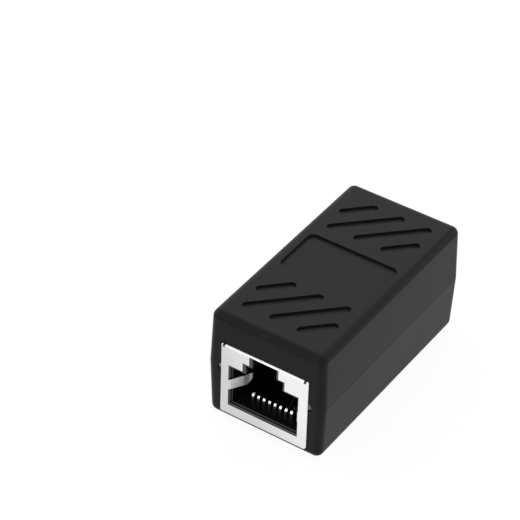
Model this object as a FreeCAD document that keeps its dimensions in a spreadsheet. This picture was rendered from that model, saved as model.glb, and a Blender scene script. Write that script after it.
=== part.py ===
import FreeCAD, Part
import math
import os
import re
import Sketcher

# Shielded 8P8C inline coupler: two moulded half shells hold a circuit board that joins two
# metal-clad jacks standing back to back.
# Row frame: +Z up, +Y along the coupler, origin under its middle at the base.
# Jack frame: origin on the end face, +Y runs inwards, so one set of sizes serves both ends.

doc = FreeCAD.newDocument("inline_coupler")
sheet = doc.addObject("Spreadsheet::Sheet", "sizes")

SIZES = [
    # folded steel shield of each jack
    ("shield_width", 16.0, "outside width of the shield"),
    ("shield_height", 13.58, "outside height of the shield"),
    ("shield_depth", 18.6, "length of the shield"),
    ("sheet", 0.25, "sheet steel thickness"),
    ("bend", 0.4, "outside bend radius of the shield"),
    ("shield_proud", 0.3, "shield face stands out of the end face"),
    ("mouth_width", 12.84, "window in the shield face"),
    ("mouth_sill", 1.79, "shield bottom to window sill"),
    ("mouth_rise", 8.1, "height of the window's wide part"),
    ("key_width", 7.68, "first step of the window"),
    ("key_rise", 1.7, "height of the first step"),
    ("latch_width", 5.32, "slot for the plug's latch"),
    ("ear_radius", 0.62, "locating ear on each side of the face"),
    ("ear_drop", 0.15, "parting line to the ears' middle"),
    ("ear_setback", 0.3, "ears lie this far behind the end face"),
    ("relief", 0.42, "bend relief notch at the face's top corners"),
    ("finger_width", 1.95, "spring finger, along the window's side"),
    ("finger_level", 5.9, "shield bottom to the finger's middle"),
    ("finger_root", 0.07, "window's side to the finger's first bend"),
    ("finger_inset", 1.37, "how far the finger leans in at its second bend"),
    ("finger_depth", 1.9, "depth of the second bend"),
    ("finger_reach", 0.9, "second bend to the tip bend, inwards"),
    ("finger_curl", 0.5, "tip bend to the tip, inwards"),
    ("finger_bend", 0.3, "bend radius in the finger"),
    ("tip_taper", 1.15, "height of the cut at the tip's lower corner"),
    ("leg_width", 1.4, "solder leg of the shield"),
    ("leg_depth", 8.0, "end face to the leg's middle"),
    ("leg_proud", 0.7, "leg beyond the board"),
    # plastic insert that guides the plug
    ("fit_gap", 0.05, "clearance between parts that slide together"),
    ("rim", 0.45, "plastic rim seen inside the window"),
    ("cavity_depth", 12.4, "end face to the back of the plug cavity"),
    ("lead_in", 0.35, "chamfer at the cavity's mouth"),
    ("pocket_depth", 4.6, "room behind a spring finger"),
    ("pocket_side", 1.15, "width of that room"),
    # contacts and their carrier
    ("contact_pitch", 1.016, "spacing of the eight contacts"),
    ("wire_width", 0.4, "contact strip width"),
    ("wire_thick", 0.3, "contact strip thickness"),
    ("wire_bend", 0.45, "bend radius along the contact"),
    ("wire_level", 1.5, "shield bottom to the contact's lower run"),
    ("wire_gap", 0.06, "clearance round a contact in its groove"),
    ("nose_depth", 2.45, "end face to the contact's front run"),
    ("nose_rise", 1.75, "lower run to the contact's front bend"),
    ("tip_depth", 12.9, "end face to the contact's free end"),
    ("tip_rise", 3.35, "lower run to the contact's free end"),
    ("tail_depth", 14.3, "end face to the front row of tails"),
    ("tail_stagger", 2.54, "front row of tails to the back row"),
    ("tail_proud", 0.8, "contact tail beyond the board"),
    ("carrier_edge", 0.95, "carrier beyond the outer contacts"),
    ("carrier_start", 1.75, "end face to the carrier's tongue"),
    ("comb_depth", 1.1, "comb slots that guide the free ends"),
    ("comb_room", 1.0, "comb slots above the free ends"),
    # circuit board
    ("board_thick", 1.2, "circuit board thickness"),
    ("board_gap", 0.05, "shield to board"),
    ("board_edge", 0.3, "board edge to the shell"),
    ("drill_radius", 0.4, "holes for the tails"),
    ("joint_radius", 0.46, "solder joint at the board"),
    ("joint_height", 0.55, "solder joint height"),
    # moulded shells
    ("wall", 1.5, "shell wall"),
    ("seat_gap", 0.085, "shield to shell, below and at the window"),
    ("side_room", 1.135, "shield to shell wall at each side"),
    ("back_room", 4.13, "between the two shields' backs"),
    ("headroom", 2.365, "board to the upper shell's ceiling"),
    ("parting", 10.17, "base to the parting line"),
    ("side_draft", 2.05, "draft of the long sides, degrees"),
    ("end_draft", 1.06, "draft of the end faces, degrees"),
    ("corner", 1.3, "rounding of all outer edges"),
    ("seam_break", 0.03, "small chamfer along the parting line"),
    ("lip_thick", 0.6, "locating lip round the parting line"),
    ("lip_height", 0.8, "height of the lip"),
    ("rib", 1.0, "thickness of the ribs"),
    ("cradle_front", 4.5, "end face to the front cradle ribs"),
    ("cradle_back", 14.5, "end face to the back cradle ribs"),
    ("hold_depth", 10.0, "end face to the ribs that hold the board down"),
    ("hold_width", 12.0, "width of those ribs"),
    ("boss_radius", 1.5, "bosses between the jacks"),
    ("pin_radius", 0.75, "locating pin"),
    ("pin_height", 3.0, "length of the locating pin"),
    # marks on top
    ("recess", 0.4, "depth of the panel and of the grip slots"),
    ("panel_width", 16.4, "label panel, across"),
    ("panel_length", 9.6, "label panel, along"),
    ("panel_corner", 1.1, "corner radius of the panel"),
    ("slot_radius", 0.72, "half the width of a grip slot"),
    ("slot_pitch", 5.0, "spacing of the slots across the coupler"),
    ("slot_reach", 7.05, "slots reach this far from the middle line"),
    ("slot_half", 4.0, "slots reach this far from their group's middle"),
    ("slot_group", 11.95, "middle of the coupler to a group of slots"),
]
ALIASES = {alias for alias, _, _ in SIZES}
for row, (alias, value, note) in enumerate(SIZES, 1):
    sheet.set(f"A{row}", note)
    sheet.set(f"B{row}", str(value))
    sheet.setAlias(f"B{row}", alias)
doc.recompute()

# Heights and depths that several pieces share.
SHIELD_BOTTOM = "(wall + seat_gap)"
SHIELD_TOP = f"({SHIELD_BOTTOM} + shield_height)"
SILL = f"({SHIELD_BOTTOM} + mouth_sill)"
STEP_1 = f"({SILL} + mouth_rise)"
STEP_2 = f"({STEP_1} + key_rise)"
SHIELD_BACK = "(shield_depth - shield_proud)"
FINGER_Z = f"({SHIELD_BOTTOM} + finger_level)"
EAR_Z = "(parting - ear_drop)"
BOARD_BOTTOM = f"({SHIELD_TOP} + board_gap)"
BOARD_TOP = f"({BOARD_BOTTOM} + board_thick)"
CEILING = f"({BOARD_TOP} + headroom)"
HEIGHT = f"({CEILING} + wall)"
HALF_LENGTH = f"({SHIELD_BACK} + back_room/2)"
HALF_WIDTH = "(shield_width/2 + side_room + wall)"
INSIDE = f"({HALF_WIDTH} - wall)"
INSERT_BOTTOM = f"({SHIELD_BOTTOM} + sheet + fit_gap)"
INSERT_TOP = f"({SHIELD_TOP} - sheet - fit_gap)"
INSERT_FRONT = "(sheet - shield_proud)"
INSERT_BACK = f"({SHIELD_BACK} - sheet - fit_gap)"
FLOOR = f"({SILL} + rim)"
WIRE_Z = f"({SHIELD_BOTTOM} + wire_level)"
TIP_Z = f"({WIRE_Z} + tip_rise)"
CARRIER_HALF = "(3.5*contact_pitch + wire_width/2 + carrier_edge)"
TAIL_TOP = f"({BOARD_TOP} + tail_proud)"
BOSS_X = f"({INSIDE} - boss_radius - 2*fit_gap)"


def bound(text):
    """Prefixes the sheet's name to each alias in an expression."""
    return re.sub(r"[a-z]\w+", lambda m: "sizes." + m[0] if m[0] in ALIASES else m[0], str(text))


def val(text):
    return float(sheet.evalExpression(bound(text)))


def new_body(name, end=None):
    """A body in the row frame, or in the jack frame of the front (-1) or rear (+1) end."""
    body = doc.addObject("PartDesign::Body", name)
    body.Label = name
    if end:
        turn = FreeCAD.Rotation(FreeCAD.Vector(0, 0, 1), 180 if end > 0 else 0)
        body.Placement = FreeCAD.Placement(FreeCAD.Vector(0, end * val(HALF_LENGTH), 0), turn)
        body.setExpression("Placement.Base.y", bound(f"{end} * {HALF_LENGTH}"))
    return body


def origin_plane(body, role):
    return next(item for item in body.Origin.OriginFeatures if item.Role == role)


def new_sketch(body, name, role, offset="0"):
    sk = body.newObject("Sketcher::SketchObject", name)
    sk.AttachmentSupport = [(origin_plane(body, role), "")]
    sk.MapMode = "FlatFace"
    sk.AttachmentOffset = FreeCAD.Placement(FreeCAD.Vector(0, 0, val(offset)), FreeCAD.Rotation())
    sk.setExpression("AttachmentOffset.Base.z", bound(offset))
    return sk


def pin_point(sk, geo, pos, x, y):
    """Binds a sketch point's two coordinates to expressions."""
    for kind, text in (("DistanceX", x), ("DistanceY", y)):
        value = val(text)
        if abs(value) < 1e-9:
            sk.addConstraint(Sketcher.Constraint("PointOnObject", geo, pos, -2 if kind == "DistanceX" else -1))
            continue
        index = sk.addConstraint(Sketcher.Constraint(kind, -1, 1, geo, pos, value))
        sk.setExpression(f"Constraints[{index}]", bound(text))


def polygon(sk, points):
    """Closed outline through points given as pairs of expressions."""
    spots = [FreeCAD.Vector(val(x), val(y), 0) for x, y in points]
    first = sk.GeometryCount
    count = len(spots)
    for i in range(count):
        sk.addGeometry(Part.LineSegment(spots[i], spots[(i + 1) % count]), False)
    for i in range(count):
        sk.addConstraint(Sketcher.Constraint("Coincident", first + i, 2, first + (i + 1) % count, 1))
    for i, (x, y) in enumerate(points):
        pin_point(sk, first + i, 1, x, y)
    return sk


def rectangle(sk, x0, y0, x1, y1):
    return polygon(sk, [(x0, y0), (x1, y0), (x1, y1), (x0, y1)])


def circle(sk, x, y, radius):
    centre = FreeCAD.Vector(val(x), val(y), 0)
    geo = sk.addGeometry(Part.Circle(centre, FreeCAD.Vector(0, 0, 1), val(radius)), False)
    pin_point(sk, geo, 3, x, y)
    index = sk.addConstraint(Sketcher.Constraint("Radius", geo, val(radius)))
    sk.setExpression(f"Constraints[{index}]", bound(radius))
    return sk


def octagon(sk, x, y, radius):
    """Octagon between flats of 2*radius, sides parallel to the axes."""
    corner = f"({radius})*tan(22.5)"
    turns = [("1", "-1"), ("1", "1"), ("-1", "1"), ("-1", "-1")]
    points = []
    for sx, sy in turns:
        wide = (f"{x} + {sx}*({radius})", f"{y} + {sy}*{corner}")
        tall = (f"{x} + {sx}*{corner}", f"{y} + {sy}*({radius})")
        points += [wide, tall] if sx == sy else [tall, wide]
    return polygon(sk, points)


def slot(sk, start, end, radius):
    """Round-ended slot between two centres."""
    a, b = (FreeCAD.Vector(val(x), val(y), 0) for x, y in (start, end))
    along = (b - a).normalize()
    side = FreeCAD.Vector(-along.y, along.x, 0) * val(radius)
    up = FreeCAD.Vector(0, 0, 1)
    angle = FreeCAD.Vector(1, 0, 0).getAngle(side) * (1 if side.y >= 0 else -1)
    g = sk.GeometryCount
    sk.addGeometry(Part.LineSegment(a + side, b + side), False)
    sk.addGeometry(Part.ArcOfCircle(Part.Circle(b, up, side.Length), angle - math.pi, angle), False)
    sk.addGeometry(Part.LineSegment(b - side, a - side), False)
    sk.addGeometry(Part.ArcOfCircle(Part.Circle(a, up, side.Length), angle, angle + math.pi), False)
    for one, pos, two, end_pos in ((0, 2, 1, 2), (1, 1, 2, 1), (2, 2, 3, 2), (3, 1, 0, 1)):
        sk.addConstraint(Sketcher.Constraint("Tangent", g + one, pos, g + two, end_pos))
    pin_point(sk, g + 3, 3, *start)
    pin_point(sk, g + 1, 3, *end)
    index = sk.addConstraint(Sketcher.Constraint("Radius", g + 1, val(radius)))
    sk.setExpression(f"Constraints[{index}]", bound(radius))
    return sk


def bent_path(sk, points, radius, square=()):
    """Open path of straight runs joined by tangent arcs of one radius, or by a square corner."""
    spots = [FreeCAD.Vector(val(x), val(y), 0) for x, y in points]
    r = val(radius)
    starts, ends, arcs = [spots[0]], [], []
    for before, here, after in zip(spots, spots[1:], spots[2:]):
        if len(arcs) in square:
            ends.append(here)
            starts.append(here)
            arcs.append(None)
            continue
        back, ahead = (before - here).normalize(), (after - here).normalize()
        half = back.getAngle(ahead) / 2
        reach = r / math.tan(half)
        centre = here + (back + ahead).normalize() * math.hypot(r, reach)
        ends.append(here + back * reach)
        starts.append(here + ahead * reach)
        middle = centre + (here - centre).normalize() * r
        arcs.append(Part.Arc(ends[-1], middle, starts[-1]))
    ends.append(spots[-1])
    lines = [sk.addGeometry(Part.LineSegment(a, b), False) for a, b in zip(starts, ends)]
    for i, arc in enumerate(arcs):
        if arc is None:
            sk.addConstraint(Sketcher.Constraint("Coincident", lines[i], 2, lines[i + 1], 1))
            pin_point(sk, lines[i + 1], 1, *points[i + 1])
            continue
        geo = sk.addGeometry(arc, False)
        ccw = (spots[i + 1] - spots[i]).cross(spots[i + 2] - spots[i + 1]).z > 0
        first, last = (1, 2) if ccw else (2, 1)
        sk.addConstraint(Sketcher.Constraint("Tangent", lines[i], 2, geo, first))
        sk.addConstraint(Sketcher.Constraint("Tangent", geo, last, lines[i + 1], 1))
        index = sk.addConstraint(Sketcher.Constraint("Radius", geo, r))
        sk.setExpression(f"Constraints[{index}]", bound(radius))
        corner_point = sk.addGeometry(Part.Point(spots[i + 1]), True)
        pin_point(sk, corner_point, 1, *points[i + 1])
        for line in (lines[i], lines[i + 1]):
            sk.addConstraint(Sketcher.Constraint("PointOnObject", corner_point, 1, line))
    pin_point(sk, lines[0], 1, *points[0])
    pin_point(sk, lines[-1], 2, *points[-1])
    return sk


def feature(body, kind, name, sk, length="", both=False, back=False, through=False):
    """Pad or Pocket of a sketch; says so at once if it changed nothing."""
    before = body.Shape.Volume if body.Tip else 0
    item = body.newObject(f"PartDesign::{kind}", name)
    item.Profile = sk
    if through:
        item.Type = "ThroughAll"
    else:
        item.Length = val(length)
        item.setExpression("Length", bound(length))
    item.SideType = "Symmetric" if both else "One side"
    item.Reversed = back
    sk.Visibility = False
    doc.recompute()
    change = body.Shape.Volume - before
    if (change <= 1e-6) if kind == "Pad" else (change >= -1e-6):
        raise RuntimeError(f"{body.Label}: {name} changed nothing")
    return item


def pattern(body, name, originals, turn=False, count=2, pitch="", spread=None):
    """Copies of features: turned half round about Z, or in a row along X."""
    before = body.Shape.Volume
    item = body.newObject("PartDesign::PolarPattern" if turn else "PartDesign::LinearPattern", name)
    item.Originals = originals
    axis = origin_plane(body, "Z_Axis" if turn else "X_Axis")
    if turn:
        item.Axis = (axis, [""])
        item.Angle = 360
    else:
        item.Direction = (axis, [""])
        item.Length = val(pitch) * (count - 1)
        item.setExpression("Length", bound(f"{count - 1} * ({pitch})"))
    item.Occurrences = count
    body.Tip = item
    doc.recompute()
    if abs(body.Shape.Volume - before) < 1e-6:
        raise RuntimeError(f"{body.Label}: {name} changed nothing")
    return item


def mirror(body, name, originals, role="YZ_Plane"):
    before = body.Shape.Volume
    item = body.newObject("PartDesign::Mirrored", name)
    item.Originals = originals
    item.MirrorPlane = (origin_plane(body, role), [""])
    body.Tip = item
    doc.recompute()
    if abs(body.Shape.Volume - before) < 1e-6:
        raise RuntimeError(f"{body.Label}: {name} changed nothing")
    return item


def edge_names(base, test):
    """Names of the edges whose two ends and middle all pass a test."""
    names = []
    for number, edge in enumerate(base.Shape.Edges, 1):
        middle = edge.valueAt((edge.FirstParameter + edge.LastParameter) / 2)
        if all(test(p) for p in [vertex.Point for vertex in edge.Vertexes] + [middle]):
            names.append(f"Edge{number}")
    return names


def dress(body, kind, name, test, size):
    """Fillet or Chamfer on the tip's edges that pass a test."""
    base = body.Tip
    item = body.newObject(f"PartDesign::{kind}", name)
    item.Base = (base, edge_names(base, test))
    prop = "Radius" if kind == "Fillet" else "Size"
    setattr(item, prop, val(size))
    item.setExpression(prop, bound(size))
    doc.recompute()
    return item


def near(a, b):
    return abs(a - b) < 1e-4


def draft_walls(body, name, x, y, back):
    """Drafts the upright walls at +-x and +-y, so that they close in away from the parting line."""
    for label, axis, place, angle in (("sides", 0, x, "side_draft"), ("ends", 1, y, "end_draft")):
        base = body.Tip
        walls = [f"Face{i}" for i, face in enumerate(base.Shape.Faces, 1)
                 if near(abs(face.CenterOfMass[axis]), val(place))]
        rim = next(f"Face{i}" for i, face in enumerate(base.Shape.Faces, 1)
                   if near(face.BoundBox.ZMin, val("parting")) and near(face.BoundBox.ZMax, val("parting")))
        item = body.newObject("PartDesign::Draft", f"{name}_{label}_draft")
        item.Base = (base, walls)
        item.NeutralPlane = (base, [rim])
        item.Reversed = back
        item.setExpression("Angle", bound(angle))
        doc.recompute()


# ---------------------------------------------------------------- moulded shells

def build_shell(name, upper):
    """One half shell, open at the parting line, drafted away from it."""
    body = new_body(name)
    outer_z, inner_z = (HEIGHT, CEILING) if upper else ("0", "wall")

    x, y = HALF_WIDTH, HALF_LENGTH
    sk = rectangle(new_sketch(body, "outline", "XY_Plane", "parting"), f"-{x}", f"-{y}", x, y)
    feature(body, "Pad", "outside", sk, f"abs({outer_z} - parting)", back=not upper)
    draft_walls(body, "outer", x, y, back=not upper)
    at_rim = val("parting")
    dress(body, "Fillet", "rounding", lambda p: not near(p.z, at_rim) or
          near(abs(p.x), val(HALF_WIDTH)) and near(abs(p.y), val(HALF_LENGTH)), "corner")
    dress(body, "Chamfer", "seam_edge", lambda p: near(p.z, at_rim), "seam_break")
    x, y = INSIDE, f"({HALF_LENGTH} - wall)"
    sk = rectangle(new_sketch(body, "inner_outline", "XY_Plane", "parting"), f"-{x}", f"-{y}", x, y)
    feature(body, "Pocket", "inside", sk, f"abs({inner_z} - parting)", back=upper)
    draft_walls(body, "inner", x, y, back=upper)

    lip = f"({INSIDE} + lip_thick)", f"({HALF_LENGTH} - wall + lip_thick)"
    if upper:
        grow = "fit_gap"
        sk = new_sketch(body, "rebate_outline", "XY_Plane", "parting")
        rectangle(sk, f"-{lip[0]} - {grow}", f"-{lip[1]} - {grow}", f"{lip[0]} + {grow}", f"{lip[1]} + {grow}")
        feature(body, "Pocket", "rebate", sk, "lip_height + fit_gap", back=True)
    else:
        sk = new_sketch(body, "lip_outline", "XY_Plane", "parting")
        rectangle(sk, f"-{lip[0]}", f"-{lip[1]}", *lip)
        x, y = INSIDE, f"({HALF_LENGTH} - wall)"
        rectangle(sk, f"-{x}", f"-{y}", x, y)
        feature(body, "Pad", "lip", sk, "lip_height")

    # End windows for the shields, with the half-round notches for their ears.
    sk = new_sketch(body, "window_outline", "XZ_Plane")
    x = "(shield_width/2 + seat_gap)"
    if upper:
        rectangle(sk, f"-{x}", "parting - 1", x, f"{SHIELD_TOP} + seat_gap")
    else:
        rectangle(sk, f"-{x}", "wall", x, "parting + lip_height + 1")
    feature(body, "Pocket", "windows", sk, through=True, both=True)
    sk = new_sketch(body, "notch_outline", "XZ_Plane")
    for side in ("-", ""):
        circle(sk, f"{side}shield_width/2", EAR_Z, "ear_radius + seat_gap")
    feature(body, "Pocket", "ear_notches", sk, through=True, both=True)

    # Cradle ribs beside each shield.
    low, high = (("parting + lip_height + 2*fit_gap", f"{BOARD_BOTTOM} - fit_gap") if upper
                 else ("wall", "parting"))
    sk = new_sketch(body, "cradle_outline", "XY_Plane", low)
    for side in ("-", ""):
        for depth in ("cradle_front", "cradle_back"):
            y = f"{side}({HALF_LENGTH} - {depth})"
            rectangle(sk, "shield_width/2 + 2*fit_gap", f"{y} - rib/2", f"{INSIDE} + 0.3", f"{y} + rib/2")
    cradle = feature(body, "Pad", "cradle", sk, f"{high} - ({low})")
    mirror(body, "cradle_across", [cradle])

    # Bosses between the jacks; the lower ones carry pins for the upper ones.
    sk = new_sketch(body, "boss_outline", "XY_Plane", inner_z)
    for side in ("-", ""):
        circle(sk, f"{side}{BOSS_X}", "0", "boss_radius")
    feature(body, "Pad", "bosses", sk, f"abs(parting - {inner_z})", back=upper)
    sk = new_sketch(body, "pin_outline", "XY_Plane", "parting")
    for side in ("-", ""):
        circle(sk, f"{side}{BOSS_X}", "0", "pin_radius + fit_gap" if upper else "pin_radius")
    if upper:
        feature(body, "Pocket", "pin_holes", sk, "pin_height + 4*fit_gap", back=True)
    else:
        feature(body, "Pad", "pins", sk, "pin_height")

    # Ribs that hold the board down, or stop the jacks sliding inwards.
    if upper:
        sk = new_sketch(body, "hold_outline", "XY_Plane", CEILING)
        for side in ("-", ""):
            y = f"({HALF_LENGTH} - hold_depth)"
            rectangle(sk, "-hold_width/2", f"{side}{y} - rib/2", "hold_width/2", f"{side}{y} + rib/2")
        feature(body, "Pad", "hold_ribs", sk, "headroom - fit_gap", back=True)
    else:
        sk = new_sketch(body, "stop_outline", "XY_Plane", "wall")
        x = f"({BOSS_X} - boss_radius - 3*fit_gap)"
        for side in ("-", ""):
            y = "(back_room/2 - 2*fit_gap - rib/2)"
            rectangle(sk, f"-{x}", f"{side}{y} - rib/2", x, f"{side}{y} + rib/2")
        feature(body, "Pad", "stop_ribs", sk, "parting - wall")

    if upper:
        cut_top_marks(body)
    return body


def cut_top_marks(body):
    """Label panel and diagonal grip slots, sunk in the top face."""
    x, y = "panel_width/2", "panel_length/2"
    sk = rectangle(new_sketch(body, "panel_outline", "XY_Plane", HEIGHT), f"-{x}", f"-{y}", x, y)
    feature(body, "Pocket", "panel", sk, "recess")
    dress(body, "Fillet", "panel_corners", lambda p: near(abs(p.x), val(x)) and near(abs(p.y), val(y))
          and p.z > val(f"{HEIGHT} - recess") - 1e-3, "panel_corner")
    sk = new_sketch(body, "slot_outline", "XY_Plane", HEIGHT)
    for shift in (-1.5, -0.5, 0.5, 1.5):
        # each slot lies on a 45 degree line, cut off by the group's own rectangle
        cross = f"({shift}*slot_pitch)"
        low = f"max(-slot_half; -slot_reach - {cross})"
        high = f"min(slot_half; slot_reach - {cross})"
        slot(sk, (f"{low} + {cross}", f"{low} - slot_group"),
             (f"{high} + {cross}", f"{high} - slot_group"), "slot_radius")
    slots = feature(body, "Pocket", "slots", sk, "recess")
    pattern(body, "slots_other_end", [slots], turn=True)


# ---------------------------------------------------------------- shields

def build_shield(name, end):
    body = new_body(name, end)
    half = "shield_width/2"
    sk = rectangle(new_sketch(body, "case_outline", "XZ_Plane", "shield_proud"),
                   f"-{half}", SHIELD_BOTTOM, half, SHIELD_TOP)
    feature(body, "Pad", "case", sk, "shield_depth", back=True)
    side, bottom, top, back = val(half), val(SHIELD_BOTTOM), val(SHIELD_TOP), val(SHIELD_BACK)
    dress(body, "Fillet", "folds", lambda p: (near(abs(p.x), side) or near(p.z, top)) and
          (p.y < back - 1e-3 or near(abs(p.x), side) and (near(p.z, bottom) or near(p.z, top))), "bend")
    sk = new_sketch(body, "ear_outline", "XZ_Plane", "-ear_setback")
    circle(sk, half, EAR_Z, "ear_radius")
    ear = feature(body, "Pad", "ear", sk, "sheet", back=True)
    mirror(body, "other_ear", [ear])
    sk = rectangle(new_sketch(body, "hollow_outline", "XZ_Plane", f"-{SHIELD_BACK}"),
                   f"-({half} - sheet)", f"{SHIELD_BOTTOM} + sheet", f"{half} - sheet", f"{SHIELD_TOP} - sheet")
    feature(body, "Pocket", "hollow", sk, "shield_depth - sheet", back=True)
    sk = rectangle(new_sketch(body, "flap_outline", "XZ_Plane", f"-{SHIELD_BACK}"),
                   f"-({half} - sheet)", f"{SHIELD_BOTTOM} + sheet", f"{half} - sheet", f"{SHIELD_TOP} - sheet")
    feature(body, "Pad", "back_flap", sk, "sheet")

    top = f"({SHIELD_TOP} - sheet)"
    rows = [("mouth_width/2", SILL), ("mouth_width/2", STEP_1), ("key_width/2", STEP_1),
            ("key_width/2", STEP_2), ("latch_width/2", STEP_2), ("latch_width/2", top)]
    outline = rows + [(f"-{x}", z) for x, z in reversed(rows)]
    sk = polygon(new_sketch(body, "mouth_outline", "XZ_Plane", "shield_proud"), outline)
    feature(body, "Pocket", "mouth", sk, "sheet + 0.01")
    sk = new_sketch(body, "relief_outline", "XZ_Plane", "shield_proud")
    for side in ("-", ""):
        inner, outer = f"{side}({half} - bend - relief)", f"{side}({half} - bend)"
        rectangle(sk, inner, f"{SHIELD_TOP} - relief", outer, f"{SHIELD_TOP} + 1")
    feature(body, "Pocket", "bend_reliefs", sk, "2*relief")

    # Opening in the top wall for the contact tails.
    sk = rectangle(new_sketch(body, "tail_outline", "XY_Plane", SHIELD_TOP), f"-{CARRIER_HALF}", "cavity_depth",
                   CARRIER_HALF, INSERT_BACK)
    feature(body, "Pocket", "tail_opening", sk, "sheet")

    # Spring fingers folded inwards from the sides of the mouth, tapered at the tip.
    middle = "(sheet/2 - shield_proud)"
    sk = new_sketch(body, "finger_section", "YZ_Plane", "-(mouth_width/2 + sheet)")
    rectangle(sk, f"{middle} - sheet/2", f"{FINGER_Z} - finger_width/2",
              f"{middle} + sheet/2", f"{FINGER_Z} + finger_width/2")
    inset, depth = "(mouth_width/2 - finger_inset)", "finger_depth"
    tip_depth = f"({depth} + finger_reach + finger_curl)"
    spine = new_sketch(body, "finger_spine", "XY_Plane", FINGER_Z)
    bent_path(spine, [("-(mouth_width/2 + sheet)", middle), ("-(mouth_width/2 - finger_root)", middle),
                      (f"-{inset}", depth), (f"-({inset} - 0.4*finger_reach)", f"{depth} + finger_reach"),
                      (f"-({inset} - 0.4*finger_reach - 0.7*finger_curl)", tip_depth)], "finger_bend")
    finger = body.newObject("PartDesign::AdditivePipe", "finger")
    finger.Profile = sk
    finger.Spine = spine
    doc.recompute()
    low = f"({FINGER_Z} - finger_width/2)"
    start, end = f"{depth} + finger_reach - 0.3*finger_curl", f"{tip_depth} + 0.1"
    sk = polygon(new_sketch(body, "taper_outline", "YZ_Plane", "-mouth_width/2"), [
        (start, f"{low} - 0.1"), (end, f"{low} - 0.1"), (end, f"{low} + tip_taper"), (start, low)])
    taper = feature(body, "Pocket", "taper", sk, "mouth_width/2", back=True)
    mirror(body, "other_finger", [finger, taper])

    # Solder legs that reach through the board.
    sk = rectangle(new_sketch(body, "leg_outline", "XY_Plane", f"{SHIELD_TOP} - bend - sheet"),
                   f"{half} - sheet", "leg_depth - leg_width/2", half, "leg_depth + leg_width/2")
    leg = feature(body, "Pad", "leg", sk, f"{BOARD_TOP} + leg_proud - ({SHIELD_TOP} - bend - sheet)")
    mirror(body, "other_leg", [leg])
    return body


# ---------------------------------------------------------------- plastic inserts

def build_insert(name, end):
    body = new_body(name, end)
    half = "(shield_width/2 - sheet - fit_gap)"
    sk = rectangle(new_sketch(body, "block_outline", "XZ_Plane", f"-{INSERT_FRONT}"),
                   f"-{half}", INSERT_BOTTOM, half, INSERT_TOP)
    feature(body, "Pad", "block", sk, f"{INSERT_BACK} - {INSERT_FRONT}", back=True)

    # Plug cavity: the shield's stepped window, smaller by the rim; the latch slot is open above.
    above = f"({INSERT_TOP} + 1)"
    rows = [("mouth_width/2 - rim", FLOOR), ("mouth_width/2 - rim", f"{STEP_1} - rim"),
            ("key_width/2 - rim", f"{STEP_1} - rim"), ("key_width/2 - rim", f"{STEP_2} - rim"),
            ("latch_width/2 - rim", f"{STEP_2} - rim"), ("latch_width/2 - rim", above)]
    outline = rows + [(f"-({x})", z) for x, z in reversed(rows)]
    sk = polygon(new_sketch(body, "cavity_outline", "XZ_Plane", f"-{INSERT_FRONT}"), outline)
    feature(body, "Pocket", "cavity", sk, f"cavity_depth - {INSERT_FRONT}")
    front, side = val(INSERT_FRONT), val("mouth_width/2 - rim")
    dress(body, "Chamfer", "lead_in_edges", lambda p: near(p.y, front) and abs(p.x) < side + 1e-3
          and p.z < val(f"{STEP_1} - rim") - 1e-3 or near(p.y, front) and near(abs(p.x), side), "lead_in")

    # Room for the spring fingers in both side walls.
    sk = rectangle(new_sketch(body, "finger_room_outline", "XZ_Plane", f"-{INSERT_FRONT}"),
                   "mouth_width/2 - rim - 0.5", f"{FINGER_Z} - finger_width/2 - 0.25",
                   "mouth_width/2 - rim + pocket_side", f"{FINGER_Z} + finger_width/2 + 0.25")
    room = feature(body, "Pocket", "finger_room", sk, "pocket_depth")
    mirror(body, "other_finger_room", [room])

    # Slot in the floor for the carrier's tongue, and the open back that takes its block.
    wide = f"({CARRIER_HALF} + fit_gap)"
    sk = rectangle(new_sketch(body, "tongue_outline", "XY_Plane", INSERT_BOTTOM), f"-{wide}",
                   "carrier_start - fit_gap", wide, "cavity_depth + 1")
    feature(body, "Pocket", "tongue_slot", sk, f"{FLOOR} - {INSERT_BOTTOM} + 0.01", back=True)
    sk = rectangle(new_sketch(body, "back_outline", "XY_Plane", INSERT_BOTTOM), f"-{wide}",
                   "cavity_depth", wide, f"{INSERT_BACK} + 1")
    feature(body, "Pocket", "open_back", sk, through=True, back=True)
    return body


# ---------------------------------------------------------------- contacts and carriers

def tail_y(number):
    """Contacts 1, 3, 5, 7 have their tails in the front row, the others in the back row."""
    return "tail_depth" if number % 2 else "(tail_depth + tail_stagger)"


def contact_x(number):
    return f"({number - 4.5}*contact_pitch)"


def build_carrier(name, end):
    """Comb-topped tongue and rear block that hold the eight contacts in closed grooves."""
    body = new_body(name, end)
    low, top = INSERT_BOTTOM, INSERT_TOP
    front = "(cavity_depth + fit_gap)"
    sk = polygon(new_sketch(body, "side_outline", "YZ_Plane"), [
        ("carrier_start", low), (INSERT_BACK, low), (INSERT_BACK, top), (front, top),
        (front, FLOOR), ("carrier_start", FLOOR)])
    feature(body, "Pad", "solid", sk, f"2*{CARRIER_HALF}", both=True)

    slack = "(wire_thick/2 + wire_gap)"
    for number in (1, 2):
        tail = tail_y(number)
        comb = f"({front} + comb_depth)"
        sk = polygon(new_sketch(body, f"groove_outline_{number}", "YZ_Plane",
                                f"{contact_x(number)} - wire_width/2 - wire_gap"), [
            (f"nose_depth - {slack}", f"{WIRE_Z} - {slack}"),
            (f"{tail} + {slack}", f"{WIRE_Z} - {slack}"), (f"{tail} + {slack}", f"{top} + 1"),
            (f"{tail} - {slack}", f"{top} + 1"), (f"{tail} - {slack}", f"{WIRE_Z} + {slack}"),
            (comb, f"{WIRE_Z} + {slack}"), (comb, f"{TIP_Z} + comb_room"),
            (f"nose_depth - {slack}", f"{TIP_Z} + comb_room")])
        groove = feature(body, "Pocket", f"groove_{number}", sk, "wire_width + 2*wire_gap", back=True)
        pattern(body, f"grooves_{number}", [groove], count=4, pitch="2*contact_pitch")
    return body


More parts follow.
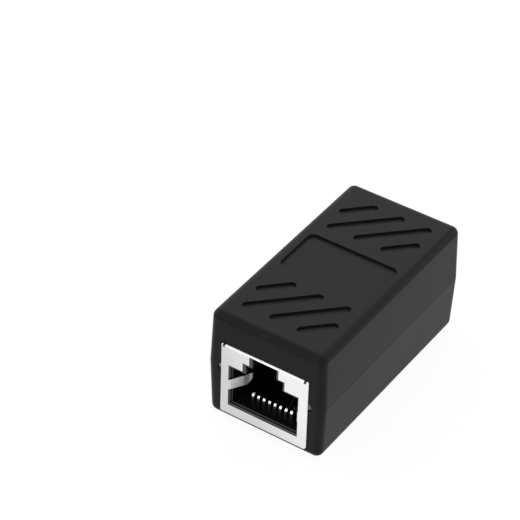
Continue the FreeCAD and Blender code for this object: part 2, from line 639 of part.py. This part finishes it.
def build_contact(name, end, number):
    """Flat spring wire: tail, lower run, front bend and sloping free end."""
    body = new_body(name, end)
    tail = tail_y(number)
    x = contact_x(number)
    sk = rectangle(new_sketch(body, "section", "XY_Plane", TAIL_TOP), f"{x} - wire_width/2",
                   f"{tail} - wire_thick/2", f"{x} + wire_width/2", f"{tail} + wire_thick/2")
    spine = new_sketch(body, "spine", "YZ_Plane", x)
    bent_path(spine, [(tail, TAIL_TOP), (tail, WIRE_Z), ("nose_depth", WIRE_Z),
                      ("nose_depth + 0.1", f"{WIRE_Z} + nose_rise"), ("tip_depth", TIP_Z)], "wire_bend", square=(0,))
    wire = body.newObject("PartDesign::AdditivePipe", "wire")
    wire.Profile = sk
    wire.Spine = spine
    wire.Transition = "Right corner"
    doc.recompute()
    return body


# ---------------------------------------------------------------- circuit board and solder

def build_board():
    body = new_body("circuit_board")
    x = f"({INSIDE} - ({BOARD_TOP} - parting)*tan(side_draft) - board_edge)"
    y = f"({HALF_LENGTH} - wall - ({BOARD_TOP} - parting)*tan(end_draft) - board_edge)"
    sk = rectangle(new_sketch(body, "outline", "XY_Plane", BOARD_BOTTOM), f"-{x}", f"-{y}", x, y)
    feature(body, "Pad", "board", sk, "board_thick")
    sk = new_sketch(body, "waist_outline", "XY_Plane", BOARD_BOTTOM)
    near_x, half = f"({BOSS_X} - boss_radius - board_edge)", "(boss_radius + board_edge)"
    rectangle(sk, near_x, f"-{half}", f"{x} + 1", half)
    rectangle(sk, f"-({x} + 1)", f"-{half}", f"-{near_x}", half)
    feature(body, "Pocket", "waist", sk, "board_thick", back=True)
    sk = new_sketch(body, "end_outline", "XY_Plane", BOARD_BOTTOM)
    for number in range(1, 9):
        octagon(sk, contact_x(number), f"{tail_y(number)} - {HALF_LENGTH}", "drill_radius")
    y = f"(leg_depth - {HALF_LENGTH})"
    inner = "(shield_width/2 - sheet - 2*fit_gap)"
    for side in ("-", ""):
        rectangle(sk, f"{side}{inner}", f"{y} - leg_width/2 - fit_gap", f"{side}({x} + 1)",
                  f"{y} + leg_width/2 + fit_gap")
    ends = feature(body, "Pocket", "holes_and_notches", sk, "board_thick", back=True)
    pattern(body, "other_end", [ends], turn=True)
    return body


def build_solder(name, end):
    """Eight solder joints round the contact tails, on top of the board."""
    body = new_body(name, end)
    sk = new_sketch(body, "pads", "XY_Plane", BOARD_TOP)
    for number in range(1, 9):
        x, y = contact_x(number), tail_y(number)
        octagon(sk, x, y, "joint_radius")
        rectangle(sk, f"{x} - wire_width/2", f"{y} - wire_thick/2", f"{x} + wire_width/2", f"{y} + wire_thick/2")
    feature(body, "Pad", "joints", sk, "joint_height")
    return body


pieces = [build_shell("upper_shell", True), build_shell("lower_shell", False), build_board()]
for side, end in (("front", -1), ("rear", 1)):
    pieces += [build_shield(f"{side}_shield", end), build_insert(f"{side}_insert", end),
               build_carrier(f"{side}_contact_carrier", end), build_solder(f"{side}_solder", end)]
    pieces += [build_contact(f"{side}_contact_{number}", end, number) for number in range(1, 9)]

doc.recompute()
for item in doc.Objects:
    if {"Invalid", "Error"} & set(item.State):
        raise RuntimeError(f"{item.Name} ({item.Label}) failed: {item.State}")
for body in pieces:
    if body.Shape.isNull() or not body.Shape.isValid():
        raise RuntimeError(f"{body.Label} has no valid shape")

os.makedirs("parts", exist_ok=True)
for body in pieces:
    body.Shape.exportStep(f"parts/{body.Label}.step")
    box = body.Shape.BoundBox
    print(f"{body.Label}: {len(body.Shape.Solids)} solid(s), {body.Shape.Volume:.2f} mm3, "
          f"x {box.XMin:.2f}..{box.XMax:.2f} y {box.YMin:.2f}..{box.YMax:.2f} z {box.ZMin:.2f}..{box.ZMax:.2f}")
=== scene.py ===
import math

import bpy
from mathutils import Matrix, Vector


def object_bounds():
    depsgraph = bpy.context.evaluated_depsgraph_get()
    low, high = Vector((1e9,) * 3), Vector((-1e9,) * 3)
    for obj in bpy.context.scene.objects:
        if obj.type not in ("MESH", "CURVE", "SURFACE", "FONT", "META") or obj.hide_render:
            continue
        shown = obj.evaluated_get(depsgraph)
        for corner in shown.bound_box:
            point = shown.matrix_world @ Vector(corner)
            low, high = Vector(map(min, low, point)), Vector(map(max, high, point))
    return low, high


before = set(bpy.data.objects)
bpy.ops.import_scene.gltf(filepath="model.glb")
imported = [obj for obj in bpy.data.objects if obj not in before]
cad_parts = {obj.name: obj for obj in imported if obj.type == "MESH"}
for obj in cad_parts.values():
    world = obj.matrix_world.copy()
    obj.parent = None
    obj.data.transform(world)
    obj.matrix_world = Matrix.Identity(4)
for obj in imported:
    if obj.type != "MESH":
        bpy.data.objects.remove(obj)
cad_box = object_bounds()


# ---------------------------------------------------------------- shader maths

MIX_FACTOR, MIX_FIRST, MIX_SECOND, MIX_RESULT = 0, 6, 7, 2      # sockets of a colour Mix node


class Value:
    """A shader socket that can stand in sums."""

    def __init__(self, finish, socket):
        self.finish, self.socket = finish, socket

    def __add__(self, other):
        return self.finish.maths("ADD", self, other)

    def __sub__(self, other):
        return self.finish.maths("SUBTRACT", self, other)

    def __mul__(self, other):
        return self.finish.maths("MULTIPLY", self, other)


class Finish:
    """One material and the few ways its nodes are made."""

    def __init__(self, name):
        self.material = bpy.data.materials.new(name)
        self.material.use_nodes = True
        self.tree = self.material.node_tree
        self.tree.nodes.clear()
        self.output = self.tree.nodes.new("ShaderNodeOutputMaterial")
        self.place = self.node("ShaderNodeTexCoord", out="Object")

    def node(self, kind, inputs=None, out=0, **settings):
        made = self.tree.nodes.new(kind)
        stops = settings.pop("stops", None)
        for key, value in settings.items():
            setattr(made, key, value)
        if stops:
            ramp = made.color_ramp
            while len(ramp.elements) < len(stops):
                ramp.elements.new(0.5)
            for element, (position, shade) in zip(ramp.elements, stops):
                element.position = position
                element.color = (shade, shade, shade, 1)
        for key, value in (inputs or {}).items():
            if isinstance(value, Value):
                self.tree.links.new(value.socket, made.inputs[key])
            else:
                made.inputs[key].default_value = value
        return Value(self, made.outputs[out])

    def axes(self):
        """The three Object coordinates, in metres."""
        split = self.node("ShaderNodeSeparateXYZ", {"Vector": self.place})
        return [Value(self, socket) for socket in split.socket.node.outputs]

    def maths(self, operation, *values):
        return self.node("ShaderNodeMath", dict(enumerate(values)), operation=operation)

    def stretched(self, scale):
        return self.node("ShaderNodeMapping", {"Vector": self.place, "Scale": scale})

    def noise(self, scale, detail, rough, where=None):
        return self.node("ShaderNodeTexNoise", {"Vector": where or self.place, "Scale": scale,
                                                "Detail": detail, "Roughness": rough}, out="Fac")

    def ramp(self, value, *stops):
        return self.node("ShaderNodeValToRGB", {"Fac": value}, stops=stops)

    def blend(self, factor, first, second):
        """Mixes two colours."""
        pair = {key: (*colour, 1) if isinstance(colour, tuple) else colour
                for key, colour in {MIX_FIRST: first, MIX_SECOND: second}.items()}
        return self.node("ShaderNodeMix", {MIX_FACTOR: factor, **pair}, out=MIX_RESULT,
                         data_type="RGBA")

    def bump(self, height, strength, distance):
        return self.node("ShaderNodeBump",
                         {"Height": height, "Strength": strength, "Distance": distance}, out="Normal")

    def skin(self, **inputs):
        """The Principled shader, joined to the output."""
        named = {key.replace("_", " "): value for key, value in inputs.items()}
        surface = self.node("ShaderNodeBsdfPrincipled", named)
        self.tree.links.new(surface.socket, self.output.inputs["Surface"])
        return self.material


# ---------------------------------------------------------------- finishes of the coupler

# The rim colour below is a painted highlight for thin lines along the insert's rim edges.
RIM_WIDTH, RIM_PAINTED_HIGHLIGHT = 0.00009, (0.15, 0.15, 0.15)
INSERT_HIGHLIGHT_RIMS = (0.02039, 0.02007)            # depths of two painted highlight lines at the lead-in chamfer's edges, from the coupler's middle
OUTER_BLACK, INNER_BLACK = (0.0155, 0.0155, 0.0159), (0.0080, 0.0080, 0.0085)
PLASTIC_IOR = 1.175                         # low, because the fine grain breaks up the gloss
GRAIN_DEPTH, SHEET_DEPTH, WIRE_DEPTH, JOINT_DEPTH = 0.00004, 0.00002, 0.00001, 0.00003

# Painted sheen on the shield's face: it runs from the dim colour, which is painted shade, at the
# bottom left to the bright one at the top right; the bright one is also the sheet's plain colour
# behind the face.
SHEET_PAINTED_SHADE, SHEET_BRIGHT, SHEET_MARKED = (0.66, 0.655, 0.65), (0.91, 0.90, 0.895), (0.62, 0.61, 0.59)
# The ear colours are a painted glint on the left ear and painted shade on the right ear.
EAR_LEFT_PAINTED_GLINT, EAR_RIGHT_PAINTED_SHADE = (0.42, 0.40, 0.31), (0.10, 0.10, 0.09)
PAINTED_SHEEN_PER_METRE_ACROSS, PAINTED_SHEEN_PER_METRE_UP, SHEET_MIDDLE = 45, 30, 0.0115
FACE_BEHIND, FACE_AHEAD = 0.0197, 0.0203    # the sheet's face starts between these, from the middle
SIDE_ENDS, EAR_STARTS = 0.008015, 0.00803   # half widths where the side ends and an ear begins
PLAIN_ROUGH, BEHIND_ROUGH, EAR_ROUGH = 0.25, 0.14, 0.10

WIRE_NEW, WIRE_WORN = (0.86, 0.85, 0.84), (0.80, 0.76, 0.68)
JOINT_DARK, JOINT_LIGHT = (0.60, 0.61, 0.62), (0.76, 0.77, 0.77)
MASK_DARK, MASK_LIGHT = (0.010, 0.075, 0.030), (0.016, 0.110, 0.045)
MASK_ON_TRACK = (0.030, 0.180, 0.070)
CONTACT_PITCH = 0.001016


def moulded_black(name, tone, roughness, grain, rims=()):
    """Spark-eroded black plastic: a fine grain, faint clouding, a few fine rubs, and painted highlight
    lines at the given rims.
    """
    finish = Finish(name)
    fine = finish.noise(5200, 3, 0.6)
    coarse = finish.noise(1300, 2, 0.5)
    cloud = finish.noise(120, 3, 0.55)
    rubs = finish.noise(60, 6, 0.7, finish.stretched((1, 14, 6)))
    rub_mask = finish.ramp(rubs, (0.56, 0.0), (0.74, 1.0))
    colour = finish.blend(cloud * 0.6, tone, tuple(c * 1.35 for c in tone))
    depth = finish.maths("ABSOLUTE", finish.axes()[1])
    # Painted highlight: thin lighter lines at the rim depths stand in for light caught by the chamfer
    # edges.
    for rim in rims:
        colour = finish.blend(finish.maths("COMPARE", depth, rim, RIM_WIDTH / 2), colour, RIM_PAINTED_HIGHLIGHT)
    sheen = cloud * 0.07 + fine * 0.05 - rub_mask * 0.04 + (roughness - 0.06)
    height = fine * 0.6 + coarse * 0.4
    return finish.skin(Base_Color=colour, Roughness=sheen, IOR=PLASTIC_IOR,
                       Normal=finish.bump(height, grain, GRAIN_DEPTH))


def plated_steel():
    """Bright tinned sheet: a painted sheen across the face, light handling marks, and a painted glint
    on the left ear and painted shade on the right.
    """
    finish = Finish("tinned_sheet_steel")
    mottle = finish.noise(260, 3, 0.5)
    upright = finish.noise(180, 6, 0.7, finish.stretched((1, 1, 0.3)))
    marks = finish.ramp(upright, (0.62, 0.0), (0.76, 1.0))
    x, y, z = finish.axes()
    across = x * finish.maths("SIGN", y) * -1
    # Painted sheen and shade: the face is lighter towards the right and the top and darker towards the
    # bottom left.
    slope = across * PAINTED_SHEEN_PER_METRE_ACROSS + (z - SHEET_MIDDLE) * PAINTED_SHEEN_PER_METRE_UP + 0.5
    sheen = finish.ramp(slope, (0.10, 0.0), (0.23, 0.12), (0.40, 0.45), (0.69, 1.0))
    depth, half_width = finish.maths("ABSOLUTE", y), finish.maths("ABSOLUTE", x)
    behind = finish.ramp(depth * 10, (FACE_BEHIND * 10, 1.0), (FACE_AHEAD * 10, 0.0))
    colour = finish.blend(finish.maths("MAXIMUM", sheen, behind), SHEET_PAINTED_SHADE, SHEET_BRIGHT)
    colour = finish.blend(marks * 0.12, colour, SHEET_MARKED)
    ears = finish.ramp(half_width * 100, (SIDE_ENDS * 100, 0.0), (EAR_STARTS * 100, 1.0))
    # Painted glint and shade: the left ear is painted light olive as if lit, the right ear dark as if
    # shaded.
    ear_glint_and_shade = finish.blend(finish.maths("GREATER_THAN", across, 0), EAR_LEFT_PAINTED_GLINT, EAR_RIGHT_PAINTED_SHADE)
    colour = finish.blend(ears, colour, ear_glint_and_shade)
    rough = mottle * 0.05 + marks * 0.05 + ears * EAR_ROUGH + behind * BEHIND_ROUGH + PLAIN_ROUGH
    return finish.skin(Base_Color=colour, Metallic=1.0, Roughness=rough,
                       Normal=finish.bump(mottle, 0.03, SHEET_DEPTH))


def nickel_wire():
    """Nickel over phosphor bronze: smooth drawn wire, a little worn where plugs wipe it."""
    finish = Finish("nickel_plated_wire")
    drawn = finish.noise(2600, 3, 0.5, finish.stretched((3, 0.25, 0.25)))
    worn = finish.ramp(finish.noise(700, 4, 0.6), (0.55, 0.0), (0.85, 1.0))
    colour = finish.blend(worn * 0.4, WIRE_NEW, WIRE_WORN)
    return finish.skin(Base_Color=colour, Metallic=1.0, Roughness=drawn * 0.08 + 0.10,
                       Normal=finish.bump(drawn, 0.06, WIRE_DEPTH))


def reflowed_solder():
    """Solder set from a melt: frosted, a little rougher in patches."""
    finish = Finish("reflowed_solder")
    frost = finish.noise(3800, 4, 0.65)
    colour = finish.blend(frost, JOINT_DARK, JOINT_LIGHT)
    return finish.skin(Base_Color=colour, Metallic=1.0, Roughness=frost * 0.18 + 0.22,
                       Normal=finish.bump(frost, 0.35, JOINT_DEPTH))


def masked_laminate():
    """Green solder mask over woven glass; tracks run along the board between the two rows of tails."""
    finish = Finish("masked_laminate")
    across = finish.axes()[0]
    folded = finish.maths("PINGPONG", across, CONTACT_PITCH / 2)
    track = finish.maths("ABSOLUTE", folded - CONTACT_PITCH / 4)
    tracks = finish.ramp(track * 2000, (0.22, 1.0), (0.30, 0.0))
    weave = finish.node("ShaderNodeTexWave", {"Vector": finish.place, "Scale": 900,
                                              "Distortion": 1.5, "Detail": 1.0}, out="Fac")
    cloud = finish.noise(260, 3, 0.5)
    colour = finish.blend(cloud, MASK_DARK, MASK_LIGHT)
    colour = finish.blend(tracks * 0.7, colour, MASK_ON_TRACK)
    return finish.skin(Base_Color=colour, Roughness=cloud * 0.12 + weave * 0.05 + 0.22,
                       Normal=finish.bump(tracks * 0.7 + weave * 0.15, 0.4, JOINT_DEPTH),
                       Coat_Weight=0.3)


finishes = {
    "shell": moulded_black("housing_plastic", OUTER_BLACK, 0.38, 0.30),
    "insert": moulded_black("insert_plastic", INNER_BLACK, 0.30, 0.12, INSERT_HIGHLIGHT_RIMS),
    "carrier": moulded_black("carrier_plastic", INNER_BLACK, 0.34, 0.15),
    "shield": plated_steel(),
    "board": masked_laminate(),
    "solder": reflowed_solder(),
}
contact_metal = nickel_wire()

for name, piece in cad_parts.items():
    finish = finishes.get(name.split("_")[-1], contact_metal)
    piece.data.materials.clear()
    piece.data.materials.append(finish)


# ---------------------------------------------------------------- floor, light and camera

WHITE, ROOM_DIFFUSE = 1.0, 0.45             # the room as camera and gloss see it, and as it lights
FLOOR_SHARE, FLOOR_GLOW = 0.86, 1.085       # the table's own light in what camera and gloss see
FLOOR_SPAN, FLOOR_TONE = 6, (0.86, 0.86, 0.86, 1)
PURE_WHITE = (1, 1, 1, 1)
LAMP_AIM = (0, 0, 0.01)
CAMERA_PLACE = (0.146823, -0.249800, 0.254161)
CAMERA_ANGLES = (32.879, 38.826, 1.815)     # azimuth, elevation and roll, in degrees
CAMERA_LENS, CAMERA_NEAR = 165.60, 0.01


def pale_floor():
    """White table that keeps the soft shadow; metal and gloss show the white that the camera sees."""
    bpy.ops.mesh.primitive_plane_add(size=FLOOR_SPAN, location=(0, 0, cad_box[0][2]))
    floor = bpy.context.object
    floor.name = "table_top"
    finish = Finish("white_table")
    rays = finish.tree.nodes.new("ShaderNodeLightPath")
    camera, gloss, through = (Value(finish, rays.outputs[f"Is {kind} Ray"])
                              for kind in ("Camera", "Glossy", "Transmission"))
    matt = finish.node("ShaderNodeBsdfDiffuse", {"Color": FLOOR_TONE})
    bright = finish.node("ShaderNodeEmission", {"Color": PURE_WHITE, "Strength": FLOOR_GLOW})
    seen = finish.maths("MAXIMUM", finish.maths("MAXIMUM", camera, through), gloss) * FLOOR_SHARE
    mixed = finish.node("ShaderNodeMixShader", {0: seen, 1: matt, 2: bright})
    finish.tree.links.new(mixed.socket, finish.output.inputs["Surface"])
    floor.data.materials.append(finish.material)


def soft_lamp(name, place, width, height, watts):
    """An area lamp that faces the object."""
    lamp = bpy.data.lights.new(name, "AREA")
    lamp.shape, lamp.size, lamp.size_y, lamp.energy = "RECTANGLE", width, height, watts
    holder = bpy.data.objects.new(name, lamp)
    bpy.context.scene.collection.objects.link(holder)
    holder.location = place
    holder.rotation_euler = (Vector(LAMP_AIM) - Vector(place)).to_track_quat("-Z", "Y").to_euler()


def studio_world():
    """White to the camera and in metal, gloss and glass; softer where it lights the object."""
    world = bpy.data.worlds.new("studio_room")
    bpy.context.scene.world = world
    world.use_nodes = True
    nodes, links = world.node_tree.nodes, world.node_tree.links
    nodes.clear()
    rays = nodes.new("ShaderNodeLightPath")
    seen = rays.outputs["Is Camera Ray"]
    for kind in ("Is Glossy Ray", "Is Transmission Ray"):
        either = nodes.new("ShaderNodeMath")
        either.operation = "MAXIMUM"
        links.new(seen, either.inputs[0])
        links.new(rays.outputs[kind], either.inputs[1])
        seen = either.outputs[0]
    level = nodes.new("ShaderNodeMix")
    level.inputs[2].default_value, level.inputs[3].default_value = ROOM_DIFFUSE, WHITE
    light, out = nodes.new("ShaderNodeBackground"), nodes.new("ShaderNodeOutputWorld")
    light.inputs["Color"].default_value = PURE_WHITE
    links.new(seen, level.inputs[0])
    links.new(level.outputs[0], light.inputs["Strength"])
    links.new(light.outputs["Background"], out.inputs["Surface"])


def place_camera():
    """Looks down on the front socket from its right."""
    azimuth, elevation, roll = (math.radians(angle) for angle in CAMERA_ANGLES)
    back = Vector((math.sin(azimuth) * math.cos(elevation), -math.cos(azimuth) * math.cos(elevation),
                   math.sin(elevation)))
    level = Vector((math.cos(azimuth), math.sin(azimuth), 0))
    upright = back.cross(level)
    right = level * math.cos(roll) + upright * math.sin(roll)
    up = upright * math.cos(roll) - level * math.sin(roll)
    camera = bpy.data.objects.new("camera", bpy.data.cameras.new("camera"))
    camera.data.lens, camera.data.clip_start = CAMERA_LENS, CAMERA_NEAR
    bpy.context.scene.collection.objects.link(camera)
    turned = Matrix((right, up, back)).transposed().to_4x4()
    camera.matrix_world = Matrix.Translation(CAMERA_PLACE) @ turned
    bpy.context.scene.camera = camera


pale_floor()
studio_world()
# The back softbox shows in the top, the right one along the top's right edge; the left one and the
# small front lamp fill the left side and the front end.
soft_lamp("back_softbox", (-0.336, 0.520, 0.504), 0.62, 0.62, 1.20)
soft_lamp("left_softbox", (-0.62, -0.03, 0.32), 0.60, 0.60, 1.20)
soft_lamp("right_softbox", (0.50, 0.52, 0.40), 0.90, 0.80, 1.30)
soft_lamp("front_lamp", (-0.273, -0.520, 0.280), 0.05, 0.05, 0.14)
place_camera()
bpy.context.scene.view_settings.view_transform = "Standard"
